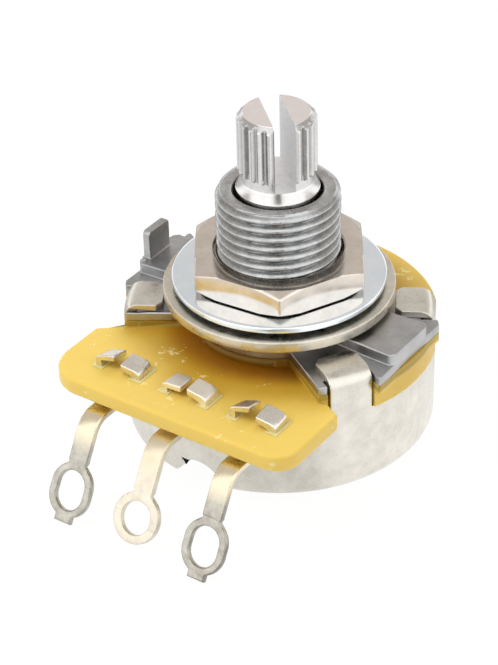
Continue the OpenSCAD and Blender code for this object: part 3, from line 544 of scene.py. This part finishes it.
board = cad_copy("terminal_board")
for vert in board.verts:
    if abs(vert.co.xy.length / MM - SEAT_R) < 0.05:
        vert.co.xy = vert.co.xy * (SEAT_SHOWN_R / SEAT_R)
round_edges(board, BOARD_EDGE, 4, 50, lambda middle: middle.z < BAR_TOP + 0.05
            and middle.y < BAR_BACK_Y and middle.xy.length > BAR_FROM_R
            and not (SLOTS_FROM_Y < middle.y < SLOTS_TO_Y and abs(middle.x) < SLOTS_HALF))
rim_mark = board.verts.layers.float.new("pale_rim")
for x, y in SLOT_PLACES:
    grown = bmesh.ops.create_cube(board, size=1, matrix=Matrix.Translation(
        (x * MM, y * MM, (BAR_TOP + RIM_HEIGHT / 2 - 0.02) * MM)) @ Matrix.Diagonal(
        ((SLOT_WIDTH + 2 * RIM_WIDTH) * MM, (SLOT_LENGTH + 2 * RIM_WIDTH) * MM, (RIM_HEIGHT + 0.04) * MM, 1)))
    for vert in grown["verts"]:
        vert[rim_mark] = 0.6
finish_piece("moulded_board", board, waxy_plastic(), "housing", ["terminal_board"])

# Terminals
# Each terminal is stamped from tinned brass strip, bent down from under the board, and
# held by two prongs clinched over the top. The end ones have long eyes with a square nub,
# and the middle one has a round eye.
STRIP_HALF, STRIP_THICKNESS = 0.825, 0.55
FLAT_MIDDLE_Z = -4.825
BLADE_FROM_Y, BEND_FROM_Y = -13.9, -15.26
BEND_R, BEND_ANGLE = 1.6, math.radians(60)
EYE_FROM_BEND = 4.705
NUB_HALF, NUB_REACH = 0.725, 2.5
NICK_FROM, NICK_TO, NICK_DEPTH = 0.35, 0.12, 0.1
# Painted light: how much lighter the prongs are painted, and where the bend's painted sheen starts, is full
# and ends.
PRONG_LIGHT, SHINE_FROM_Z, SHINE_FULL_Z, UNDER_BOARD_Z = 0.6, -7.2, -5.4, -4.2
# Each eye's outer radius, hole radius, straight run and edge rounding.
EYES = {"long": (1.8, 1.2, 0.65, 0.13), "round": (1.95, 1.28, 0.0, 0.07)}
# The solid's plain blade is cut off here, and the stamped one takes its place.
PLAIN_BLADE_FROM_Y = -14
PRONG_EDGE, PRONG_BEND = 0.12, 0.25
# Each prong's tilt along and across the board, as the clinching left it.
PRONG_TILTS = {(-1, -1): (0.30, -0.22), (-1, 1): (-0.10, 0.10), (0, -1): (0.06, -0.05),
               (0, 1): (-0.16, 0.04), (1, -1): (0.34, -0.24), (1, 1): (-0.12, 0.14)}


def stamped(outlines, low, high, edge):
    """A sheet part between two heights: outlines in mm, the outer one first, with rounded edges."""
    mesh = bmesh.new()
    for outline in outlines:
        ring = [mesh.verts.new((x * MM, y * MM, (low + edge) * MM)) for x, y in outline]
        for i in range(len(ring)):
            mesh.edges.new((ring[i - 1], ring[i]))
    bmesh.ops.triangle_fill(mesh, use_beauty=True, edges=mesh.edges[:])
    raised = bmesh.ops.extrude_face_region(mesh, geom=mesh.faces[:])["geom"]
    bmesh.ops.translate(mesh, verts=[item for item in raised if isinstance(item, bmesh.types.BMVert)],
                        vec=(0, 0, (high - low - 2 * edge) * MM))
    bmesh.ops.recalc_face_normals(mesh, faces=mesh.faces)
    for up in (1, -1):
        cap = [face for face in mesh.faces if face.normal.z * up > 0.9]
        for inward, outward in ((0.134, 0.5), (0.366, 0.366), (0.5, 0.134)):
            bmesh.ops.inset_region(mesh, faces=cap, thickness=inward * edge * MM,
                                   depth=outward * edge * MM, use_boundary=True, use_even_offset=True)
    return mesh


def around(radius, run, start, stop, steps):
    """Points on a slot's rounded outline, from one angle to another, in degrees."""
    turns = [math.radians(start + (stop - start) * i / steps) for i in range(steps + 1)]
    return [(radius * math.cos(turn), radius * math.sin(turn) + math.copysign(run / 2, math.sin(turn)))
            for turn in turns]


def blade(eye):
    """A terminal's blade: stamped flat with its eye, cut across at the bend and then bent."""
    outer, hole, run, edge = EYES[eye]
    bend_length = BEND_R * BEND_ANGLE
    bend_at = BLADE_FROM_Y - BEND_FROM_Y
    eye_at = bend_at + bend_length + EYE_FROM_BEND
    neck = math.degrees(math.acos(STRIP_HALF / outer))
    foot = math.degrees(math.acos(NUB_HALF / outer))
    if run:
        nub = [(-NUB_HALF, NUB_REACH), (NUB_HALF, NUB_REACH)]
        rim = around(outer, run, 180 + neck, 180 - foot, 14) + nub + around(outer, run, foot, -neck, 14)
    else:
        rim = around(outer, run, 180 + neck, -neck, 36)
    nick = [(-STRIP_HALF, rim[0][1] - NICK_FROM), (-STRIP_HALF + NICK_DEPTH, rim[0][1] - NICK_TO)]
    rim = nick + rim[1:-1] + [(-x, y) for x, y in reversed(nick)]
    outline = [(-STRIP_HALF, 0)] + [(x, y + eye_at) for x, y in rim] + [(STRIP_HALF, 0)]
    inner = [(x, y + eye_at) for x, y in around(hole, run, 0.001, 359.999 - 360 / 36, 35)]
    mesh = stamped([outline, inner], -STRIP_THICKNESS / 2, STRIP_THICKNESS / 2, edge)
    for i in range(11):
        bmesh.ops.bisect_plane(mesh, geom=mesh.verts[:] + mesh.edges[:] + mesh.faces[:],
                               plane_co=(0, (bend_at + bend_length * i / 10) * MM, 0), plane_no=(0, 1, 0))
    for vert in mesh.verts:
        along, off = vert.co.y / MM, vert.co.z / MM
        turn = min(max(along - bend_at, 0) / BEND_R, BEND_ANGLE)
        rest = max(along - bend_at - bend_length, 0)
        y = BEND_FROM_Y - (BEND_R + off) * math.sin(turn) - rest * math.cos(turn)
        z = FLAT_MIDDLE_Z - BEND_R + (BEND_R + off) * math.cos(turn) - rest * math.sin(turn)
        if along < bend_at:
            y = BLADE_FROM_Y - along
        vert.co.y, vert.co.z = y * MM, z * MM
    bmesh.ops.recalc_face_normals(mesh, faces=mesh.faces)
    return mesh


def bend_sheen_and_prong_light(tree, place, colour):
    """Painted light: warms and lightens the metal at the bend under the board as a painted sheen, and
    lightens the prongs as a painted highlight.
    """
    height = add_node(tree, "ShaderNodeSeparateXYZ", {}, {0: place})
    above = add_node(tree, "ShaderNodeMath", {"operation": "GREATER_THAN", 1: BAR_TOP * MM},
                     {0: height.outputs["Z"]})
    share = add_node(tree, "ShaderNodeMath", {"operation": "MULTIPLY", 1: PRONG_LIGHT},
                     {0: above.outputs[0]})
    colour = add_node(tree, "ShaderNodeMix", {"data_type": "RGBA", 7: linear("#FFFAF0")},
                      {0: share.outputs[0], 6: colour}).outputs[2]
    near = add_node(tree, "ShaderNodeMapRange", {"interpolation_type": "SMOOTHSTEP",
                                                 "From Min": SHINE_FROM_Z * MM,
                                                 "From Max": SHINE_FULL_Z * MM},
                    {"Value": height.outputs["Z"]})
    below = add_node(tree, "ShaderNodeMath", {"operation": "LESS_THAN", 1: UNDER_BOARD_Z * MM},
                     {0: height.outputs["Z"]})
    both = add_node(tree, "ShaderNodeMath", {"operation": "MULTIPLY"},
                    {0: near.outputs["Result"], 1: below.outputs[0]})
    return add_node(tree, "ShaderNodeMix", {"data_type": "RGBA", 7: linear("#E6DBC0")},
                    {0: both.outputs[0], 6: colour}).outputs[2]


# Tinned brass that has gone grey in handling: silver-grey, scratched, dull in patches.
grey_tin = metal("greyed_tin_on_brass", "#C9C5BB", "#948F84", 0.26, 1.0, 0.12, 0.004, 0.5, bend_sheen_and_prong_light)
# Fresh matt tin: cream white, hardly marked.
cream_tin = metal("matt_cream_tin", "#F2EAD8", "#CFC6B5", 0.40, 1.1, 0.12, 0.004, 0.3, bend_sheen_and_prong_light)

for place_number, side, eye, material, slot in ((-1, "left", "long", grey_tin, "terminal_grey"),
                                                (0, "middle", "round", cream_tin, "tinned_brass"),
                                                (1, "right", "long", grey_tin, "terminal_grey")):
    terminal = cad_copy("terminal_" + side)
    everything = terminal.verts[:] + terminal.edges[:] + terminal.faces[:]
    bmesh.ops.bisect_plane(terminal, geom=everything, plane_co=(0, PLAIN_BLADE_FROM_Y * MM, 0),
                           plane_no=(0, -1, 0), clear_outer=True)
    bmesh.ops.holes_fill(terminal, edges=[edge for edge in terminal.edges if edge.is_boundary], sides=0)
    round_edges(terminal, PRONG_EDGE, 3, 38, lambda middle: middle.z > BAR_TOP)
    for vert in terminal.verts:
        lift = vert.co.z / MM - BAR_TOP
        hand = 1 if vert.co.x / MM > place_number * TERMINAL_PITCH else -1
        along, across = PRONG_TILTS[place_number, hand]
        if lift > 0.02:
            from_slot = abs(vert.co.x / MM - place_number * TERMINAL_PITCH - hand * PRONG_OFFSET)
            vert.co.z += max(along * from_slot * -hand + across * (vert.co.y / MM - PRONG_Y),
                             0.02 - lift) * MM * min(1, lift / PRONG_BEND)
    strip = blade(eye)
    bmesh.ops.translate(strip, verts=strip.verts, vec=(place_number * TERMINAL_PITCH * MM, 0, 0))
    strip_data = bpy.data.meshes.new("strip")
    strip.to_mesh(strip_data)
    strip.free()
    terminal.from_mesh(strip_data)
    bpy.data.meshes.remove(strip_data)
    finish_piece("terminal_blade_" + side, terminal, material, "housing", ["terminal_" + side])

# Inner parts of the housing
# The laminate horseshoe carries the carbon track. The collector ring is silvered bronze,
# and the thrust washer is hard bronze. All three stay as the solids are.


def dress_node(node_name, material):
    """Gives a CAD node that stays as it is its own finish."""
    for material_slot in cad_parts[node_name].material_slots:
        material_slot.link = "OBJECT"
        material_slot.material = material


# Paper laminate under carbon ink: near black, matt, with a faint paper grain.
carbon_laminate, tree, surface = new_material("carbon_on_laminate")
place = add_node(tree, "ShaderNodeTexCoord").outputs["Object"]
grain = add_node(tree, "ShaderNodeTexNoise", {"Scale": 1000 / 0.4, "Detail": 4.0}, {"Vector": place})
ink = add_node(tree, "ShaderNodeMix", {"data_type": "RGBA", 6: linear("#2B2826"), 7: linear("#4A443E")},
               {0: grain.outputs["Fac"]})
shader = add_node(tree, "ShaderNodeBsdfPrincipled", {"Roughness": 0.7}, {"Base Color": ink.outputs[2]})
tree.links.new(shader.outputs["BSDF"], surface)
dress_node("resistance_element", carbon_laminate)
dress_node("collector_ring", metal("silvered_bronze", "#DDD6C8", "#B3A58A", 0.30, 1.2, 0.2, 0.003))
dress_node("thrust_washer", metal("hard_bronze", "#C79A5E", "#94703F", 0.32, 1.0, 0.2, 0.003))

# Shaft
# The shaft is turned from aluminium bar. Its knob end is split by a saw cut and knurled
# with straight teeth, and a cone leads down to the full diameter in the bushing.
SHAFT_TOP = 15.4
SHAFT_R = 3.175
TAIL_END, TAIL_FROM, TAIL_R = -10.2, -7.15, 2.6
STAKED_FROM, STAKED_R = -10.05, 2.95
RING_FROM, RING_TO = -3.2, -2.6
COLLAR_TOP = 9.2
NECK_R = 2.75
NECK_FROM = 9.95
KNURL_FROM = 10.7
KNURL_TIP_R, KNURL_ROOT_R = 3.0, 2.72
KNURL_TEETH = 24
KNURL_ROW, CHAMFER_DEPTH, CHAMFER_ROW = 0.5, 0.52, 0.06
TOOL_RING_MM = 0.16
KNURL_TOP_R = 2.52
SLOT_HALF = 0.8
SLOT_FLOOR = 9.95
SLOT_ANGLE = math.radians(-43)


def tool_rings_and_painted_light(tree, place, colour):
    """Fine rings of the lathe tool: they follow the height on a wall and the radius on a face.
    As painted light, the knurl's grooves and the top chamfer are darker and the top face is lighter.
    """
    flat = add_node(tree, "ShaderNodeVectorMath", {"operation": "MULTIPLY", 1: (1, 1, 0)}, {0: place})
    radius = add_node(tree, "ShaderNodeVectorMath", {"operation": "LENGTH"}, {0: flat.outputs[0]})
    height = add_node(tree, "ShaderNodeSeparateXYZ", {}, {0: place})
    along = add_node(tree, "ShaderNodeMath", {"operation": "ADD"},
                     {0: radius.outputs["Value"], 1: height.outputs["Z"]})
    rings = add_node(tree, "ShaderNodeTexNoise", {"noise_dimensions": "1D", "Scale": 1000 / TOOL_RING_MM,
                                                  "Detail": 1.0}, {"W": along.outputs[0]})
    shade = add_node(tree, "ShaderNodeMapRange", {"From Min": 0.3, "From Max": 0.7, "To Min": 0.94},
                     {"Value": rings.outputs["Fac"]})
    # Painted shade: darker down into the knurl's grooves.
    groove = add_node(tree, "ShaderNodeMapRange",
                      {"From Min": KNURL_ROOT_R * MM, "From Max": (KNURL_TIP_R - 0.04) * MM, "To Min": 0.6},
                      {"Value": radius.outputs["Value"]})
    no_groove = add_node(tree, "ShaderNodeMath", {"operation": "LESS_THAN", 1: (KNURL_FROM - 0.05) * MM},
                         {0: height.outputs["Z"]})
    # Painted shade: the top chamfer is darker.
    chamfer = add_node(tree, "ShaderNodeMapRange", {"From Min": (SHAFT_TOP - 0.50) * MM,
                                                    "From Max": (SHAFT_TOP - 0.44) * MM, "To Max": 0.8},
                       {"Value": height.outputs["Z"]})
    outside = add_node(tree, "ShaderNodeMath", {"operation": "MAXIMUM"},
                       {0: chamfer.outputs["Result"], 1: no_groove.outputs[0]})
    shown = add_node(tree, "ShaderNodeMath", {"operation": "MAXIMUM"},
                     {0: groove.outputs["Result"], 1: outside.outputs[0]})
    lit = add_node(tree, "ShaderNodeMath", {"operation": "MULTIPLY"},
                   {0: shade.outputs["Result"], 1: shown.outputs[0]})
    ringed_and_shaded = add_node(tree, "ShaderNodeMix", {"data_type": "RGBA", 6: (0, 0, 0, 1)},
                    {0: lit.outputs[0], 7: colour})
    # Painted highlight: the top face is lighter.
    top = add_node(tree, "ShaderNodeMath", {"operation": "GREATER_THAN", 1: (SHAFT_TOP - 0.02) * MM},
                   {0: height.outputs["Z"]})
    return add_node(tree, "ShaderNodeMix", {"data_type": "RGBA", 7: linear("#FAF3F1")},
                    {0: top.outputs[0], 6: ringed_and_shaded.outputs[2]}).outputs[2]


# Turned aluminium: very light, clean and nearly mirror bright, with fine tool rings.
# Its grooves and chamfer carry painted shade, and its top face a painted highlight.
turned_aluminium = metal("turned_aluminium", "#E2E1E0", "#D2D0CE", 0.22, 0.8, 0.10, 0.003, 0.0, tool_rings_and_painted_light)

knurl_rows = [(KNURL_TIP_R, KNURL_FROM + 0.02 + KNURL_ROW * i) for i in range(9)]
chamfer_rows = [(KNURL_TIP_R, SHAFT_TOP - CHAMFER_DEPTH + CHAMFER_ROW * i) for i in range(9)]
shaft = turned([(0.0, TAIL_END), (STAKED_R, TAIL_END), (STAKED_R, STAKED_FROM), (TAIL_R, STAKED_FROM),
                (TAIL_R, TAIL_FROM), (SHAFT_R, TAIL_FROM), (SHAFT_R, RING_FROM), (TAIL_R, RING_FROM),
                (TAIL_R, RING_TO), (SHAFT_R, RING_TO), (SHAFT_R, COLLAR_TOP - 0.05),
                (SHAFT_R - 0.05, COLLAR_TOP), (NECK_R + 0.04, NECK_FROM - 0.04), (NECK_R, NECK_FROM + 0.05),
                (NECK_R, KNURL_FROM - 0.12)] + knurl_rows + chamfer_rows
               + [(KNURL_TOP_R, SHAFT_TOP), (0.0, SHAFT_TOP)], KNURL_TEETH * 10)
for vert in shaft.verts:
    radius, height = vert.co.xy.length / MM, vert.co.z / MM
    if height > KNURL_FROM and radius > KNURL_TIP_R - 0.01:
        tooth = (math.atan2(vert.co.y, vert.co.x) / (2 * math.pi) * KNURL_TEETH) % 1.0
        ridge = min(1.0, max(0.0, 1.4 - 3.6 * abs(tooth - 0.5)))
        wanted = KNURL_ROOT_R + (KNURL_TIP_R - KNURL_ROOT_R) * ridge * ridge * (3 - 2 * ridge)
        wanted = min(wanted, KNURL_TOP_R + (SHAFT_TOP - height))
        vert.co.xy = vert.co.xy * (wanted / radius)
shaft_data = bpy.data.meshes.new("shaft_blank")
shaft.to_mesh(shaft_data)
shaft.free()
blank = bpy.data.objects.new("shaft_blank", shaft_data)
saw = bmesh.new()
bmesh.ops.create_cube(saw, size=1, matrix=Matrix.Rotation(SLOT_ANGLE, 4, "Z") @ Matrix.Translation(
    (0, 0, (SLOT_FLOOR + 5) * MM)) @ Matrix.Diagonal((20 * MM, 2 * SLOT_HALF * MM, 10 * MM, 1)))
saw_data = bpy.data.meshes.new("saw_cut")
saw.to_mesh(saw_data)
saw.free()
saw_object = bpy.data.objects.new("saw_cut", saw_data)
for helper in (blank, saw_object):
    bpy.context.scene.collection.objects.link(helper)
cut = blank.modifiers.new("slot", "BOOLEAN")
cut.operation, cut.object, cut.solver = "DIFFERENCE", saw_object, "EXACT"
bpy.context.view_layer.update()
slotted = bmesh.new()
slotted.from_mesh(blank.evaluated_get(bpy.context.evaluated_depsgraph_get()).to_mesh())
for helper in (blank, saw_object):
    bpy.data.objects.remove(helper)
bmesh.ops.remove_doubles(slotted, verts=slotted.verts, dist=MERGE * MM)

# Sawn aluminium: duller and whiter than the turned faces, streaked by the slitting saw.
sawn_aluminium = metal("sawn_aluminium", "#FFFFFF", "#ECECEE", 0.5, 0.35, 0.08, 0.008)
split = finish_piece("split_shaft", slotted, turned_aluminium, "rotor", ["shaft"], 28)
split.data.materials.append(sawn_aluminium)
to_slot = Matrix.Rotation(-SLOT_ANGLE, 3, "Z")
for face in split.data.polygons:
    middle = to_slot @ face.center / MM
    if middle.z > SLOT_FLOOR - 0.02 and abs(middle.y) < SLOT_HALF + 0.02:
        face.material_index = 1

# Inner parts of the rotor
# The disc is phenolic and carries the phosphor bronze wiper. The steel stop arm and the
# retaining ring hold it all on the shaft's tail.

# Phenolic moulding: dark brown and half matt, with a flowing grain.
phenolic, tree, surface = new_material("brown_phenolic")
place = add_node(tree, "ShaderNodeTexCoord").outputs["Object"]
grain = add_node(tree, "ShaderNodeTexNoise", {"Scale": 1000 / 1.5, "Detail": 5.0}, {"Vector": place})
brown = add_node(tree, "ShaderNodeMix", {"data_type": "RGBA", 6: linear("#4A2E1C"), 7: linear("#6E4930")},
                 {0: grain.outputs["Fac"]})
shader = add_node(tree, "ShaderNodeBsdfPrincipled", {"Roughness": 0.5}, {"Base Color": brown.outputs[2]})
tree.links.new(shader.outputs["BSDF"], surface)
dress_node("rotor_disc", phenolic)
dress_node("wiper_spring", metal("phosphor_bronze", "#D2A066", "#A87A45", 0.25, 1.0, 0.2, 0.002))
dark_steel = metal("blued_steel", "#8A8D90", "#5E6163", 0.35, 1.0, 0.2, 0.004)
dress_node("retaining_ring", dark_steel)
dress_node("stop_arm", dark_steel)

# Lock washer
# The lock washer is hardened steel with a thick plated rim. Its inner teeth are twisted,
# so that they bite into the plate and hold the flat washer off it.
LOCK_EDGE, LOCK_RIM_FROM_R = 0.12, 8.5

# Dull zinc plate on hardened steel: cream white and slightly pitted.
cream_plate = metal("dull_zinc_plate", "#E4DED2", "#CBC4B4", 0.30, 1.2, 0.12, 0.004, 0.15)
lock = cad_copy("lock_washer")
round_edges(lock, LOCK_EDGE, 3, 60, lambda middle: middle.xy.length > LOCK_RIM_FROM_R)
finish_piece("lock_washer_rim", lock, cream_plate, "housing", ["lock_washer"])

# Flat washer
# The flat washer is stamped from steel and bright zinc plated with a clear blue passivate.
# The press leaves one edge rounded and the other crisp.
FLAT_R, FLAT_BORE = 8.22, 5.01
FLAT_FROM, FLAT_TO = 1.26, 1.78
ROLL_WIDTH, ROLL_DEPTH = 0.34, 0.15

# Bright blue zinc: a cool mirror with a faint haze.
blue_zinc = metal("bright_blue_zinc", "#F4FAFF", "#E6F0F8", 0.17, 2.5, 0.3, 0.0015, 0.08)
rim_turns = [math.radians(15 * i) for i in range(7)]
rim_curve = [(FLAT_R - ROLL_WIDTH * (1 - math.cos(turn)), FLAT_TO - ROLL_DEPTH * (1 - math.sin(turn)))
             for turn in rim_turns]
flat = turned([(FLAT_BORE, FLAT_FROM + 0.06), (FLAT_BORE + 0.06, FLAT_FROM), (FLAT_R - 0.05, FLAT_FROM),
               (FLAT_R, FLAT_FROM + 0.05)] + rim_curve
              + [(FLAT_BORE + 0.06, FLAT_TO), (FLAT_BORE, FLAT_TO - 0.06)], 144)
finish_piece("flat_washer_disc", flat, blue_zinc, "washer", ["flat_washer"])

# Nut
# The nut is machined from hexagon brass bar and nickel plated. Both faces are chamfered at
# the corners, and both ends of its bore are countersunk.
NUT_FROM, NUT_TO = 1.912, 3.962
NUT_HALF_FLATS = 6.35
NUT_CORNER_ANGLE = math.radians(-55.7)
NUT_BORE, NUT_BLANK_R = 4.8, 8.0
NUT_SINK = 0.25
LOW_WALL, TOP_WALL = 0.45, 0.75
TOP_CHAMFER_R, TOP_CHAMFER_SLOPE = 6.55, 0.6
LOW_CHAMFER_R, LOW_CHAMFER_SLOPE = 6.71, 0.45
CORNER_BLEND, EDGE_BLEND = 0.16, 0.12
# The turned blank's columns are crowded towards the nut's six corners, to draw them sharp.
CORNER_CROWDING = 1.6


def soft_min(a, b, blend):
    """The smaller of two sizes, eased over a short range where they cross."""
    near = max(blend - abs(a - b), 0) / blend
    return min(a, b) - near * near * blend / 4


# Bright nickel on brass: a warm mirror that picks up the yellow board and the tent.
bright_nickel = metal("bright_nickel_on_brass", "#E4DBD1", "#D1C7BC", 0.16, 2.0, 0.25, 0.0015, 0.08)

wall_rows = [(NUT_BLANK_R, NUT_FROM + LOW_WALL * i / 12) for i in range(13)] \
    + [(NUT_BLANK_R, NUT_TO - TOP_WALL + TOP_WALL * i / 20) for i in range(21)]
nut = turned([(NUT_BORE, NUT_FROM + NUT_SINK), (NUT_BORE + NUT_SINK - 0.04, NUT_FROM + 0.04),
              (NUT_BORE + NUT_SINK + 0.06, NUT_FROM)] + wall_rows
             + [(NUT_BORE + NUT_SINK + 0.06, NUT_TO), (NUT_BORE + NUT_SINK - 0.04, NUT_TO - 0.04),
                (NUT_BORE, NUT_TO - NUT_SINK)], 240)
for vert in nut.verts:
    radius, height = vert.co.xy.length / MM, vert.co.z / MM
    sector = (math.atan2(vert.co.y, vert.co.x) / math.radians(60)) % 1.0 * 2 - 1
    sixth = math.floor(math.atan2(vert.co.y, vert.co.x) / math.radians(60))
    spread = math.copysign(1 - (1 - abs(sector)) ** CORNER_CROWDING, sector)
    turn = NUT_CORNER_ANGLE + math.radians(60) * (sixth + (spread + 1) / 2)
    if radius > NUT_BLANK_R - 0.1:
        off = abs(spread) * math.radians(30)
        radius = soft_min(NUT_HALF_FLATS / math.cos(off), NUT_HALF_FLATS / math.cos(math.radians(60) - off),
                          CORNER_BLEND)
        radius = soft_min(radius, TOP_CHAMFER_R + (NUT_TO - height) / TOP_CHAMFER_SLOPE, EDGE_BLEND)
        radius = soft_min(radius, LOW_CHAMFER_R + (height - NUT_FROM) / LOW_CHAMFER_SLOPE, EDGE_BLEND)
    vert.co.xy = Vector((math.cos(turn), math.sin(turn))) * radius * MM
finish_piece("nickel_nut", nut, bright_nickel, "nut", ["hex_nut"], 30)
